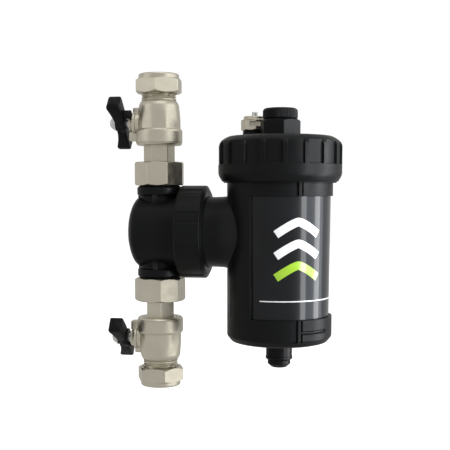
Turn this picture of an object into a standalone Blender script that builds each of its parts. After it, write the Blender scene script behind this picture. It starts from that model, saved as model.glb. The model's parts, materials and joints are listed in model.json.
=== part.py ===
"""Magnetic system filter for a heating circuit, with its two isolating ball valves.

The origin is the middle of the diverter, where the vertical flow column meets the
horizontal union axis.  +Z runs up the column and +X runs towards the canister.
Sizes below are in millimetres, and MM turns them into metres.
"""
import math

import bmesh
import bpy
from mathutils import Matrix, Vector

MM = 0.001
GAP = 0.3
COARSE, MEDIUM, FINE = 14, 24, 42

# Flow column: heights above the union axis, the same on the upper and the lower run
BARREL_RADIUS, BARREL_DOME_START, BARREL_DOME_X = 27.0, -13.0, -22.6
CAVITY_RADIUS, CAVITY_LOW_X = 22.0, -16.0
SPIGOT_RADIUS, SPIGOT_LOW_X, SPIGOT_END_X = 30.4, 17.5, 29.0
PORT_BOSS_RADIUS, PORT_FLANGE_RADIUS, PORT_BORE = 15.2, 16.7, 9.5
PORT_FLANGE_LOW, PORT_FLANGE_TOP, PORT_THREAD_RADIUS, PORT_END = 27.6, 34.9, 14.9, 42.7
UNION_NUT_LOW, UNION_NUT_TOP, UNION_NUT_CORNER, UNION_NUT_BORE = 35.2, 52.8, 19.4, 15.4
WASHER_TOP, TAIL_FLANGE_TOP, TAIL_FLANGE_RADIUS = 44.6, 47.7, 14.8
TAIL_HEX_CORNER, TAIL_HEX_TOP, TAIL_THREAD_RADIUS, TAIL_END = 11.8, 65.1, 12.4, 72.2
TAIL_BORE = 8.0
VALVE_LOW, VALVE_RING_TOP, VALVE_RING_RADIUS = 65.2, 76.6, 17.6
VALVE_WAIST, VALVE_SHOULDER, VALVE_TAPER_TOP, VALVE_NOSE_TOP = 16.1, 15.2, 95.0, 98.5
VALVE_THREAD_RADIUS, VALVE_END = 13.2, 109.0
VALVE_CAVITY, VALVE_CAVITY_TOP, VALVE_WATERWAY, PIPE_STOP = 12.7, 92.2, 9.0, 98.6
STEM_HEIGHT, STEM_BOSS_RADIUS, STEM_BOSS_END, STEM_RADIUS, STEM_BORE = 82.2, 9.0, 20.0, 3.6, 3.9
BALL_RADIUS, SEAT_BORE, SEAT_RADIUS = 11.0, 8.2, 12.4
PIPE_SOCKET_RADIUS = 11.15
COMP_NUT_LOW, COMP_NUT_TOP, COMP_NUT_CORNER, COMP_NUT_BORE = 104.0, 115.0, 18.5, 13.5
COMP_COLLAR_RADIUS, COMP_COLLAR_TOP = 15.3, 118.6

UPPER_PHASES, LOWER_PHASES = (30.0, 14.0, 33.0), (31.0, 16.0, 7.0)

# Levers: distances out from the column along -X
GLAND_START, GLAND_END, GLAND_CORNER = 20.3, 24.8, 6.9
HANDLE_INNER, HANDLE_OUTER, HANDLE_TIP_OUTER = 25.8, 32.8, 37.4
HANDLE_HALF_LENGTH, HANDLE_WIDTH = 23.5, 12.0
LEVER_NUT_START, LEVER_NUT_HEX_END, LEVER_NUT_END, LEVER_NUT_CORNER = 33.1, 35.6, 37.2, 4.9
UPPER_LEVER_TURN, LOWER_LEVER_TURN = -48.0, -55.0

# Union between the diverter and the canister, along +X
RING_LOW, RING_HIGH, RING_RADIUS, RING_BORE, RING_LIP = 17.0, 38.2, 35.0, 30.9, 34.4
NECK_RADIUS, NECK_FLANGE_RADIUS, NECK_START, NECK_FLANGE_END, NECK_BORE = 26.4, 30.3, 31.2, 34.1, 22.0

# Canister, lid and what hangs in them, about the vertical axis at CANISTER_X
CANISTER_X, CANISTER_RADIUS, CANISTER_BORE, MOUTH_BORE = 92.0, 39.4, 34.4, 36.4
CANISTER_LOW, FLOOR_TOP, RIM_TOP, RIM_RADIUS = -82.6, -78.0, 57.6, 41.4
COLLAR_TOP = 35.2
LABEL_LOW, LABEL_HIGH, LABEL_RADIUS, LABEL_THICK = -61.6, 27.0, 37.8, 0.5
RECESS_FROM, RECESS_TO, LABEL_FROM, LABEL_TO = -30.0, 210.0, -26.0, 206.0
DRAIN_BOSS_RADIUS, DRAIN_BOSS_LOW, DRAIN_BORE = 10.0, -95.8, 6.2
DRAIN_SEAT_RADIUS, DRAIN_SEAT_TOP, DRAIN_HEAD_RADIUS, DRAIN_END = 8.0, -94.1, 8.6, -101.8
LID_RADIUS, LID_BAND_LOW, LID_LOW, LID_TOP = 46.0, 41.0, 36.8, 71.2
LID_SKIRT_RADIUS, LID_BORE, LID_OPENING, LID_LIP_LOW = 40.5, 41.8, 36.4, 62.3
GRIP_COUNT, GRIP_WIDTH, GRIP_DEPTH, GRIP_LOW = 18, 12.4, 1.7, 50.2
PLATE_RADIUS, PLATE_LOW, PLATE_TOP, SKIRT_LOW = 41.2, 57.9, 68.6, 51.9
HEX_CORNER, HEX_LOW, HEX_TOP, HEX_PHASE = 16.0, 68.9, 83.6, 45.0
KNURL_RADIUS, KNURL_LOW, KNURL_TOP = 13.1, 83.9, 91.8
SHEATH_RADIUS, SHEATH_BORE, SHEATH_TOP, SHEATH_END = 11.0, 9.4, 57.0, -66.0
ROD_RADIUS, ROD_TOP, ROD_END = 2.0, 87.0, -62.5
MAGNET_RADIUS, MAGNET_COUNT, MAGNET_LENGTH, POLE_LENGTH, MAGNET_TOP = 9.0, 4, 24.0, 4.0, 50.0
VENT_OFFSET, VENT_BASE_RADIUS, VENT_BODY_RADIUS = (-21.0, 16.0), 9.2, 10.6
VENT_BASE_TOP, VENT_STEP, VENT_TOP, VENT_SCREW_TOP = 76.4, 84.8, 87.4, 90.8

BLACK = ("black_plastic", (0.018, 0.019, 0.021), 0.42, 0.0)
GLOSS = ("label_gloss", (0.010, 0.011, 0.013), 0.12, 0.0)
LEVER = ("lever_plastic", (0.014, 0.014, 0.016), 0.38, 0.0)
NICKEL = ("nickel_plate", (0.66, 0.62, 0.55), 0.28, 1.0)
BRASS = ("brass", (0.72, 0.55, 0.28), 0.35, 1.0)
CHROME = ("chrome_ball", (0.80, 0.80, 0.82), 0.08, 1.0)
STEEL = ("steel", (0.55, 0.56, 0.58), 0.32, 1.0)
MAGNET = ("magnet_plate", (0.48, 0.48, 0.50), 0.30, 1.0)
SEAL = ("rubber", (0.012, 0.012, 0.012), 0.75, 0.0)
PTFE = ("ptfe", (0.88, 0.88, 0.86), 0.50, 0.0)
FIBRE = ("fibre", (0.32, 0.10, 0.07), 0.80, 0.0)

ALONG_X = (0.0, math.radians(90), 0.0)


def clear_scene():
    for item in list(bpy.data.objects):
        bpy.data.objects.remove(item, do_unlink=True)


def collection(name):
    made = bpy.data.collections.new(name)
    bpy.context.scene.collection.children.link(made)
    return made


def material(finish):
    name, colour, roughness, metallic = finish
    made = bpy.data.materials.get(name)
    if made is None:
        made = bpy.data.materials.new(name)
        made.use_nodes = True
        shader = made.node_tree.nodes["Principled BSDF"]
        shader.inputs["Base Color"].default_value = (*colour, 1.0)
        shader.inputs["Roughness"].default_value = roughness
        shader.inputs["Metallic"].default_value = metallic
    return made


def empty(name, location=(0, 0, 0), rotation=(0, 0, 0)):
    made = bpy.data.objects.new(name, None)
    made.location = Vector(location) * MM
    made.rotation_euler = rotation
    PARTS.objects.link(made)
    return made


def place(item, parent, at, turn):
    item.parent = parent
    item.location = Vector(at) * MM
    item.rotation_euler = turn


def mesh_object(name, bm, finish, parent, at, turn):
    """Turn a bmesh into a named piece, or into a cutter when it has no finish."""
    mesh = bpy.data.meshes.new(name)
    bm.to_mesh(mesh)
    bm.free()
    item = bpy.data.objects.new(name, mesh)
    if finish is None:
        CUTTERS.objects.link(item)
        item.hide_render = True
        item.display_type = "WIRE"
    else:
        PARTS.objects.link(item)
        mesh.materials.append(material(finish))
        mesh.shade_smooth()
        mesh.set_sharp_from_angle(angle=math.radians(35))
    place(item, parent, at, turn)
    return item


def turned(name, profile, finish=None, parent=None, at=(0, 0, 0), turn=(0, 0, 0), steps=MEDIUM):
    """Turn a profile of (radius, height) about Z, listed down its outer side.

    A profile that starts and ends on the axis makes a solid, any other is closed on
    itself and makes a ring.
    """
    bm = bmesh.new()
    points = [bm.verts.new((radius * MM, 0.0, height * MM)) for radius, height in profile]
    solid = profile[0][0] == 0.0 and profile[-1][0] == 0.0
    followers = points[1:] if solid else points[1:] + points[:1]
    for start, end in zip(points, followers):
        bm.edges.new((start, end))
    item = mesh_object(name, bm, finish, parent, at, turn)
    screw = item.modifiers.new("turn", "SCREW")
    screw.axis = "Z"
    screw.steps = steps
    screw.render_steps = steps
    screw.use_merge_vertices = True
    screw.merge_threshold = 0.00001
    screw.use_smooth_shade = True
    return item


def rod(name, radius, low, high, **options):
    """A plain cylinder between two heights."""
    return turned(name, [(0.0, high), (radius, high), (radius, low), (0.0, low)], **options)


def ring(name, inner, outer, low, high, **options):
    """A plain ring between two heights."""
    return turned(name, [(outer, high), (outer, low), (inner, low), (inner, high)], **options)


def prism(name, sides, corner, low, high, phase=0.0, finish=None, parent=None,
          at=(0, 0, 0), turn=(0, 0, 0)):
    """An upright prism with regular sides, its first corner at the angle phase."""
    bm = bmesh.new()
    spin = Matrix.Rotation(math.radians(phase), 4, "Z")
    middle = Matrix.Translation((0, 0, (low + high) / 2 * MM)) @ spin
    bmesh.ops.create_cone(bm, cap_ends=True, segments=sides, radius1=corner * MM, radius2=corner * MM,
                          depth=(high - low) * MM, matrix=middle)
    return mesh_object(name, bm, finish, parent, at, turn)


def box(name, size, centre, finish=None, parent=None, at=(0, 0, 0), turn=(0, 0, 0)):
    bm = bmesh.new()
    scale = Matrix.Diagonal((size[0] * MM, size[1] * MM, size[2] * MM, 1.0))
    bmesh.ops.create_cube(bm, size=1.0, matrix=Matrix.Translation(Vector(centre) * MM) @ scale)
    return mesh_object(name, bm, finish, parent, at, turn)


def outline(name, points, thickness, finish=None, parent=None, at=(0, 0, 0), turn=(0, 0, 0)):
    """A flat outline in the XY plane, given its thickness about Z = 0, as a mesh."""
    curve = bpy.data.curves.new(name, "CURVE")
    curve.dimensions = "2D"
    curve.fill_mode = "BOTH"
    curve.extrude = thickness / 2 * MM
    spline = curve.splines.new("POLY")
    spline.points.add(len(points) - 1)
    for target, (x, y) in zip(spline.points, points):
        target.co = (x * MM, y * MM, 0.0, 1.0)
    spline.use_cyclic_u = True
    flat = bpy.data.objects.new(name + "_outline", curve)
    bpy.context.scene.collection.objects.link(flat)
    view = bpy.context.evaluated_depsgraph_get()
    mesh = bpy.data.meshes.new_from_object(flat.evaluated_get(view))
    bm = bmesh.new()
    bm.from_mesh(mesh)
    bmesh.ops.remove_doubles(bm, verts=bm.verts, dist=0.00001)
    bmesh.ops.recalc_face_normals(bm, faces=bm.faces)
    bpy.data.objects.remove(flat, do_unlink=True)
    bpy.data.meshes.remove(mesh)
    return mesh_object(name, bm, finish, parent, at, turn)


def arc(radius, start, end, steps):
    """Points on a circle, by angle in degrees from -Y towards +X."""
    angles = [math.radians(start + (end - start) * step / steps) for step in range(steps + 1)]
    return [(radius * math.sin(angle), -radius * math.cos(angle)) for angle in angles]


def sector(name, inner, outer, start, end, low, high, steps, **options):
    """A piece of a ring between two angles and two heights."""
    points = arc(outer, start, end, steps) + arc(inner, end, start, steps)
    x, y, z = options.pop("at", (0, 0, 0))
    return outline(name, points, high - low, at=(x, y, z + (low + high) / 2), **options)


def combine(item, operation, *others):
    """Add one Boolean modifier for each of the others."""
    for other in others:
        step = item.modifiers.new(operation.lower(), "BOOLEAN")
        step.operation = operation
        step.solver = "EXACT"
        step.object = other


# Flow column

def diverter():
    barrel = [(0.0, SPIGOT_END_X), (SPIGOT_RADIUS, SPIGOT_END_X), (SPIGOT_RADIUS, SPIGOT_LOW_X),
              (BARREL_RADIUS, SPIGOT_LOW_X - 1.0), (BARREL_RADIUS, BARREL_DOME_START)]
    dome_depth = BARREL_DOME_START - BARREL_DOME_X
    for step in range(1, 6):
        angle = math.radians(90 * step / 6)
        barrel.append((BARREL_RADIUS * math.cos(angle), BARREL_DOME_START - dome_depth * math.sin(angle)))
    barrel.append((0.0, BARREL_DOME_X))
    housing = turned("diverter_housing", barrel, BLACK, turn=ALONG_X, steps=FINE)
    half = [(PORT_THREAD_RADIUS, PORT_END), (PORT_THREAD_RADIUS, PORT_FLANGE_TOP),
            (PORT_FLANGE_RADIUS, PORT_FLANGE_TOP), (PORT_FLANGE_RADIUS, PORT_FLANGE_LOW),
            (PORT_BOSS_RADIUS, PORT_FLANGE_LOW - 1.0)]
    mirrored = [(radius, -height) for radius, height in reversed(half)]
    ports = turned("port_shape", [(0.0, PORT_END)] + half + mirrored + [(0.0, -PORT_END)])
    cavity = rod("cavity_cut", CAVITY_RADIUS, CAVITY_LOW_X, SPIGOT_END_X + 5, turn=ALONG_X, steps=MEDIUM)
    through = rod("port_cut", PORT_BORE, -PORT_END - 5, PORT_END + 5)
    combine(housing, "UNION", ports)
    combine(housing, "DIFFERENCE", cavity, through)


def flow_divider():
    """A level plate that keeps the incoming and the outgoing water apart, with its locating ring."""
    plate_low, plate_high = CAVITY_LOW_X + GAP, NECK_FLANGE_END + 20
    hoop = ring("flow_divider", 19.2, CAVITY_RADIUS - GAP, 20.0, 25.0, finish=BLACK, turn=ALONG_X)
    plate = box("divider_plate", (plate_high - plate_low, 2 * (CAVITY_RADIUS - 1.0), 2.4),
                ((plate_low + plate_high) / 2, 0, 0))
    combine(hoop, "UNION", plate)


def union_nut(side, run, phase):
    height = UNION_NUT_TOP - UNION_NUT_LOW
    chamfer = 0.9
    lip_low = TAIL_FLANGE_TOP + GAP
    profile = [(UNION_NUT_CORNER - chamfer, height), (UNION_NUT_CORNER + 0.1, height - chamfer * 0.8),
               (UNION_NUT_CORNER + 0.1, chamfer * 0.8), (UNION_NUT_CORNER - chamfer, 0.0),
               (UNION_NUT_BORE, 0.0), (UNION_NUT_BORE, lip_low - UNION_NUT_LOW),
               (TAIL_HEX_CORNER + 0.4, lip_low - UNION_NUT_LOW), (TAIL_HEX_CORNER + 0.4, height)]
    nut = turned(side + "_union_nut", profile, NICKEL, run, (0, 0, UNION_NUT_LOW))
    eight = prism(side + "_union_nut_flats", 8, UNION_NUT_CORNER, -5, height + 5, phase,
                  parent=run, at=(0, 0, UNION_NUT_LOW))
    combine(nut, "INTERSECT", eight)


def tailpiece(side, run, phase):
    """The hexagonal neck that the union nut holds, screwed into the valve."""
    hexagon = prism(side + "_tailpiece", 6, TAIL_HEX_CORNER, TAIL_FLANGE_TOP - 1.0, TAIL_HEX_TOP + 1.0,
                    phase, NICKEL, run)
    flange = rod(side + "_tail_flange", TAIL_FLANGE_RADIUS, WASHER_TOP + 0.2, TAIL_FLANGE_TOP, parent=run)
    thread = rod(side + "_tail_thread", TAIL_THREAD_RADIUS, TAIL_HEX_TOP, TAIL_END, parent=run)
    bore = rod(side + "_tail_bore", TAIL_BORE, WASHER_TOP - 5, TAIL_END + 5, parent=run)
    combine(hexagon, "UNION", flange, thread)
    combine(hexagon, "DIFFERENCE", bore)


def valve_body(side, run):
    profile = [(PIPE_SOCKET_RADIUS + 1.2, VALVE_END), (VALVE_THREAD_RADIUS, VALVE_END - 1.2),
               (VALVE_THREAD_RADIUS, VALVE_NOSE_TOP), (13.9, VALVE_NOSE_TOP),
               (VALVE_SHOULDER, VALVE_TAPER_TOP),
               (VALVE_WAIST, VALVE_RING_TOP + 0.5), (VALVE_RING_RADIUS, VALVE_RING_TOP),
               (VALVE_RING_RADIUS, VALVE_LOW + 1.3), (VALVE_RING_RADIUS - 1.0, VALVE_LOW),
               (VALVE_CAVITY, VALVE_LOW), (VALVE_CAVITY, VALVE_CAVITY_TOP),
               (VALVE_WATERWAY, VALVE_CAVITY_TOP), (VALVE_WATERWAY, PIPE_STOP),
               (PIPE_SOCKET_RADIUS, PIPE_STOP), (PIPE_SOCKET_RADIUS, VALVE_END)]
    body = turned(side + "_valve_body", profile, NICKEL, run)
    sideways = (0.0, math.radians(-90), 0.0)
    boss = rod(side + "_stem_boss", STEM_BOSS_RADIUS, 14.0, STEM_BOSS_END, parent=run,
               at=(0, 0, STEM_HEIGHT), turn=sideways, steps=COARSE)
    hole = rod(side + "_stem_hole", STEM_BORE, 9.0, STEM_BOSS_END + 5, parent=run,
               at=(0, 0, STEM_HEIGHT), turn=sideways, steps=COARSE)
    combine(body, "UNION", boss)
    combine(body, "DIFFERENCE", hole)


def seats(side, run):
    """The two rings that the ball turns between, their faces cut to its curve."""
    reach = STEM_HEIGHT - TAIL_END - 0.4
    face, throat = 5.3, 7.8
    profile = [(SEAT_RADIUS, reach), (SEAT_RADIUS, face), (9.9, face), (SEAT_BORE, throat),
               (SEAT_BORE, reach)]
    turned(side + "_outer_seat", profile, PTFE, run, (0, 0, STEM_HEIGHT), steps=COARSE)
    turned(side + "_inner_seat", profile, PTFE, run, (0, 0, STEM_HEIGHT), (math.pi, 0, 0), steps=COARSE)


def lever(side, run, turn):
    """Ball, stem, handle and nut on the lever's own axis, which is local +Z pointing out along -X.

    Local +X is the way the handle and the ball's waterway lie, along the run when turn is 0.
    """
    outwards = Matrix.Rotation(math.radians(-90), 3, "Y") @ Matrix.Rotation(math.radians(turn), 3, "Z")
    pivot = empty(side + "_lever_axis", (0, 0, STEM_HEIGHT), outwards.to_euler())
    pivot.parent = run
    bm = bmesh.new()
    bmesh.ops.create_uvsphere(bm, u_segments=24, v_segments=14, radius=BALL_RADIUS * MM)
    ball = mesh_object(side + "_valve_ball", bm, CHROME, pivot, (0, 0, 0), (0, 0, 0))
    waterway = rod(side + "_ball_bore", TAIL_BORE, -20, 20, parent=pivot, turn=ALONG_X, steps=COARSE)
    slot = box(side + "_ball_slot", (30, 3.2, 5.0), (0, 0, BALL_RADIUS), parent=pivot)
    combine(ball, "DIFFERENCE", waterway, slot)
    key_low, shank_low = BALL_RADIUS - 2.0, BALL_RADIUS + 0.4
    stem = turned(side + "_valve_stem", [(0.0, LEVER_NUT_END - 1.2), (2.4, LEVER_NUT_END - 1.2),
                                         (2.4, HANDLE_INNER - GAP), (STEM_RADIUS, HANDLE_INNER - GAP),
                                         (STEM_RADIUS, shank_low), (0.0, shank_low)],
                  STEEL, pivot, steps=COARSE)
    key_top = shank_low + 1
    key = box(side + "_stem_key", (6.0, 2.6, key_top - key_low), (0, 0, (key_top + key_low) / 2),
              parent=pivot)
    combine(stem, "UNION", key)
    handle(side, pivot)
    profile = [(0.0, LEVER_NUT_END + 1.2), (2.6, LEVER_NUT_END + 0.8), (4.0, LEVER_NUT_END - 0.3),
               (4.3, LEVER_NUT_HEX_END), (5.0, LEVER_NUT_HEX_END), (5.0, LEVER_NUT_START),
               (2.7, LEVER_NUT_START), (2.7, LEVER_NUT_END - 0.9), (0.0, LEVER_NUT_END - 0.9)]
    nut = turned(side + "_lever_nut", profile, STEEL, pivot)
    flats = prism(side + "_lever_nut_flats", 6, LEVER_NUT_CORNER, LEVER_NUT_START - 5, LEVER_NUT_END + 5,
                  parent=pivot)
    combine(nut, "INTERSECT", flats)
    gland = ring(side + "_gland_nut", STEM_BORE, GLAND_CORNER, GLAND_START, GLAND_END, finish=BRASS,
                 parent=pivot)
    gland_flats = prism(side + "_gland_nut_flats", 6, GLAND_CORNER, GLAND_START - 5, GLAND_END + 5,
                        parent=pivot)
    combine(gland, "INTERSECT", gland_flats)


def handle(side, pivot):
    """The butterfly handle: flat inside, flaring outwards to a rounded tip on each wing."""
    inner, hub, tip = HANDLE_INNER, HANDLE_OUTER, HANDLE_TIP_OUTER
    half = [(hub, 6.0), (hub + 0.6, 9.0), (hub + 1.9, 14.0), (tip - 0.9, 19.5), (tip, 21.4),
            (tip - 0.2, 22.8), (tip - 1.2, HANDLE_HALF_LENGTH), (inner + 0.8, HANDLE_HALF_LENGTH - 0.8),
            (inner, HANDLE_HALF_LENGTH - 1.8)]
    mirrored = [(x, -length) for x, length in reversed(half)]
    body = outline(side + "_valve_handle", half + mirrored, HANDLE_WIDTH, LEVER, pivot)
    body.rotation_euler = Matrix(((0, 1, 0), (0, 0, 1), (1, 0, 0))).to_euler()
    hole = rod(side + "_handle_hole", 2.7, HANDLE_INNER - 5, HANDLE_OUTER + 8, parent=pivot, steps=COARSE)
    combine(body, "DIFFERENCE", hole)


def compression_nut(side, run, phase):
    top, low = COMP_NUT_TOP - COMP_NUT_LOW, 0.0
    collar_top = COMP_COLLAR_TOP - COMP_NUT_LOW
    corner, chamfer = COMP_NUT_CORNER + 0.1, 1.1
    profile = [(COMP_COLLAR_RADIUS - 0.8, collar_top), (COMP_COLLAR_RADIUS, collar_top - 0.8),
               (COMP_COLLAR_RADIUS, top), (corner - chamfer, top), (corner, top - chamfer * 0.7),
               (corner, low + chamfer * 0.7), (corner - chamfer, low), (COMP_NUT_BORE, low),
               (COMP_NUT_BORE, 9.4), (PIPE_SOCKET_RADIUS, 11.6), (PIPE_SOCKET_RADIUS, collar_top)]
    nut = turned(side + "_compression_nut", profile, NICKEL, run, (0, 0, COMP_NUT_LOW))
    six = prism(side + "_compression_flats", 6, COMP_NUT_CORNER, -5, collar_top + 5, phase,
                parent=run, at=(0, 0, COMP_NUT_LOW))
    combine(nut, "INTERSECT", six)


def flow_run(side, turn, lever_turn, union_phase, tail_phase, nut_phase):
    """One valve with its fittings, the lower run being the upper one turned about X.

    Each phase is how far that nut happens to be screwed round, as its first corner's angle.
    """
    run = empty(side + "_run", rotation=turn)
    union_nut(side, run, union_phase)
    tailpiece(side, run, tail_phase)
    valve_body(side, run)
    seats(side, run)
    lever(side, run, lever_turn)
    compression_nut(side, run, nut_phase)
    ring(side + "_union_washer", PORT_BORE + 0.5, PORT_THREAD_RADIUS - 0.2, PORT_END + GAP, WASHER_TOP,
         finish=FIBRE, parent=run, steps=COARSE)
    middle, bore = VALVE_END + 2.1, PIPE_SOCKET_RADIUS + GAP
    turned(side + "_olive", [(bore, middle + 1.7), (13.0, middle + 0.7), (13.0, middle - 0.7),
                             (bore, middle - 1.7)], BRASS, run, steps=COARSE)


# Union and canister

def union_ring():
    """The ring that pulls the canister's neck against the diverter's spigot."""
    profile = [(RING_RADIUS - 3.5, RING_HIGH), (RING_RADIUS, RING_HIGH - 1.8),
               (RING_RADIUS, RING_LOW + 1.2), (RING_RADIUS - 1.2, RING_LOW), (RING_BORE, RING_LOW),
               (RING_BORE, RING_LIP),
               (NECK_RADIUS + 0.4, RING_LIP), (NECK_RADIUS + 0.4, RING_HIGH)]
    turned("union_ring", profile, BLACK, turn=ALONG_X, steps=FINE)
    middle, thick = (SPIGOT_END_X + NECK_START) / 2, 0.8
    turned("union_o_ring", [(25.6, middle + thick), (27.0, middle + thick), (27.6, middle),
                            (27.0, middle - thick), (25.6, middle - thick), (25.0, middle)],
           SEAL, turn=ALONG_X)


def canister_shell():
    axis = (CANISTER_X, 0, 0)
    outer = [(0.0, RIM_TOP), (RIM_RADIUS - 0.8, RIM_TOP), (RIM_RADIUS, RIM_TOP - 0.8),
             (RIM_RADIUS, COLLAR_TOP + 5), (CANISTER_RADIUS, COLLAR_TOP + 3),
             (CANISTER_RADIUS, CANISTER_LOW + 3), (CANISTER_RADIUS - 1, CANISTER_LOW + 1),
             (CANISTER_RADIUS - 3, CANISTER_LOW), (DRAIN_BOSS_RADIUS, CANISTER_LOW),
             (DRAIN_BOSS_RADIUS, DRAIN_BOSS_LOW), (0.0, DRAIN_BOSS_LOW)]
    shell = turned("canister_body", outer, BLACK, at=axis, steps=FINE)
    neck = turned("neck_shape", [(0.0, 72.0), (NECK_RADIUS, 72.0), (NECK_RADIUS, NECK_FLANGE_END),
                                 (NECK_FLANGE_RADIUS, NECK_FLANGE_END), (NECK_FLANGE_RADIUS, NECK_START),
                                 (0.0, NECK_START)], turn=ALONG_X)
    inside = turned("canister_cut", [(0.0, RIM_TOP + 5), (MOUTH_BORE, RIM_TOP + 5), (MOUTH_BORE, 46.0),
                                     (CANISTER_BORE, 44.0), (CANISTER_BORE, FLOOR_TOP), (0.0, FLOOR_TOP)],
                    at=axis, steps=FINE)
    bore = rod("neck_cut", NECK_BORE, NECK_START - 5, 74.0, turn=ALONG_X)
    drain = turned("drain_cut", [(0.0, FLOOR_TOP + 5), (DRAIN_BORE, FLOOR_TOP + 5),
                                 (DRAIN_BORE, DRAIN_SEAT_TOP), (DRAIN_SEAT_RADIUS, DRAIN_SEAT_TOP),
                                 (DRAIN_SEAT_RADIUS, DRAIN_BOSS_LOW - 5), (0.0, DRAIN_BOSS_LOW - 5)],
                   at=axis, steps=COARSE)
    floor = LABEL_RADIUS - LABEL_THICK - GAP
    recess = sector("label_cut", floor, CANISTER_RADIUS + 5, RECESS_FROM, RECESS_TO,
                    LABEL_LOW - GAP, LABEL_HIGH + GAP, 36, at=axis)
    combine(shell, "UNION", neck)
    combine(shell, "DIFFERENCE", inside, bore, drain, recess)
    sector("label_panel", LABEL_RADIUS - LABEL_THICK, LABEL_RADIUS, LABEL_FROM, LABEL_TO,
           LABEL_LOW, LABEL_HIGH, 34, at=axis, finish=GLOSS)


def drain_plug():
    axis = (CANISTER_X, 0, 0)
    shank, head_top = DRAIN_BORE - GAP, DRAIN_BOSS_LOW - GAP
    turned("drain_plug", [(0.0, FLOOR_TOP - 2), (shank, FLOOR_TOP - 2), (shank, head_top),
                          (DRAIN_HEAD_RADIUS, head_top), (DRAIN_HEAD_RADIUS, DRAIN_END + 1.6),
                          (DRAIN_HEAD_RADIUS - 3.2, DRAIN_END), (0.0, DRAIN_END)], BLACK, at=axis)
    ring("drain_washer", DRAIN_BORE, DRAIN_SEAT_RADIUS - GAP, DRAIN_BOSS_LOW, DRAIN_SEAT_TOP - GAP,
         finish=SEAL, at=axis, steps=COARSE)


def lid():
    axis = (CANISTER_X, 0, 0)
    profile = [(41.0, LID_TOP - 1.6), (44.2, LID_TOP - 3.8), (LID_RADIUS, LID_TOP - 6.2),
               (LID_RADIUS, LID_BAND_LOW),
               (LID_SKIRT_RADIUS + 1.9, LID_LOW), (LID_BORE, LID_LOW), (LID_BORE, LID_LIP_LOW),
               (LID_OPENING, LID_LIP_LOW), (LID_OPENING, LID_TOP)]
    lid_ring = turned("lid_ring", profile, BLACK, at=axis, steps=FINE)
    bm = bmesh.new()
    for index in range(GRIP_COUNT):
        turn = Matrix.Rotation(math.radians(360 * (index + 0.5) / GRIP_COUNT), 4, "Z")
        centre = Vector((LID_RADIUS - GRIP_DEPTH + 5, 0, (GRIP_LOW + LID_TOP + 5) / 2))
        middle = Matrix.Translation(centre * MM)
        size = Matrix.Diagonal((10 * MM, GRIP_WIDTH * MM, (LID_TOP + 5 - GRIP_LOW) * MM, 1.0))
        bmesh.ops.create_cube(bm, size=1.0, matrix=turn @ middle @ size)
    grips = mesh_object("lid_grip_cut", bm, None, None, axis, (0, 0, 0))
    combine(lid_ring, "DIFFERENCE", grips)
    plate = turned("lid_plate", [(LID_OPENING - 0.5, PLATE_TOP), (LID_OPENING - 0.5, LID_LIP_LOW - GAP),
                                 (PLATE_RADIUS, LID_LIP_LOW - GAP), (PLATE_RADIUS, PLATE_LOW),
                                 (MOUTH_BORE - GAP, PLATE_LOW), (MOUTH_BORE - GAP, SKIRT_LOW),
                                 (30.0, SKIRT_LOW), (28.0, PLATE_LOW), (12.8, PLATE_LOW),
                                 (12.8, PLATE_TOP)], BLACK, at=axis, steps=FINE)
    stud_hole = rod("vent_stud_cut", 4.6, PLATE_LOW - 5, PLATE_TOP + 5, steps=COARSE,
                    at=(CANISTER_X + VENT_OFFSET[0], VENT_OFFSET[1], 0))
    combine(plate, "DIFFERENCE", stud_hole)
    seal_top, seal_low = SKIRT_LOW - GAP, SKIRT_LOW - GAP - 2.4
    turned("lid_o_ring", [(MOUTH_BORE - 0.9, seal_top), (MOUTH_BORE - GAP, seal_top - 0.6),
                          (MOUTH_BORE - GAP, seal_low + 0.6), (MOUTH_BORE - 0.9, seal_low),
                          (34.4, seal_low), (34.4, seal_top)], SEAL, at=axis)


def magnet_pocket():
    """The plug, the dry sheath that it holds, and the magnets that pull out of it."""
    axis = (CANISTER_X, 0, 0)
    plug = prism("hex_plug", 6, HEX_CORNER, HEX_LOW, HEX_TOP, HEX_PHASE, BLACK, at=axis)
    shank = rod("hex_plug_shank", 12.4, SHEATH_TOP + GAP + 0.3, HEX_LOW + 1, at=axis)
    bore = rod("hex_plug_bore", SHEATH_BORE, SHEATH_TOP - 5, HEX_TOP + 5, at=axis)
    combine(plug, "UNION", shank)
    combine(plug, "DIFFERENCE", bore)
    sheath(axis)
    rod("magnet_rod", ROD_RADIUS, ROD_END, ROD_TOP, finish=STEEL, at=axis, steps=COARSE)
    pitch = MAGNET_LENGTH + POLE_LENGTH
    for index in range(MAGNET_COUNT):
        top = MAGNET_TOP - index * pitch
        ring("magnet_%d" % (index + 1), ROD_RADIUS + 0.2, MAGNET_RADIUS, top - MAGNET_LENGTH, top,
             finish=MAGNET, at=axis, steps=COARSE)
        if index < MAGNET_COUNT - 1:
            ring("pole_piece_%d" % (index + 1), ROD_RADIUS + 0.2, MAGNET_RADIUS, top - pitch + GAP,
                 top - MAGNET_LENGTH - GAP, finish=STEEL, at=axis, steps=COARSE)
    hole = ROD_RADIUS + 0.4
    turned("knurled_cap", [(0.0, KNURL_TOP), (KNURL_RADIUS - 1.2, KNURL_TOP),
                           (KNURL_RADIUS, KNURL_TOP - 1.2), (KNURL_RADIUS, KNURL_LOW + 0.6),
                           (KNURL_RADIUS - 0.6, KNURL_LOW), (hole, KNURL_LOW), (hole, ROD_TOP + 0.4),
                           (0.0, ROD_TOP + 0.4)], BLACK, at=axis)


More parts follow.
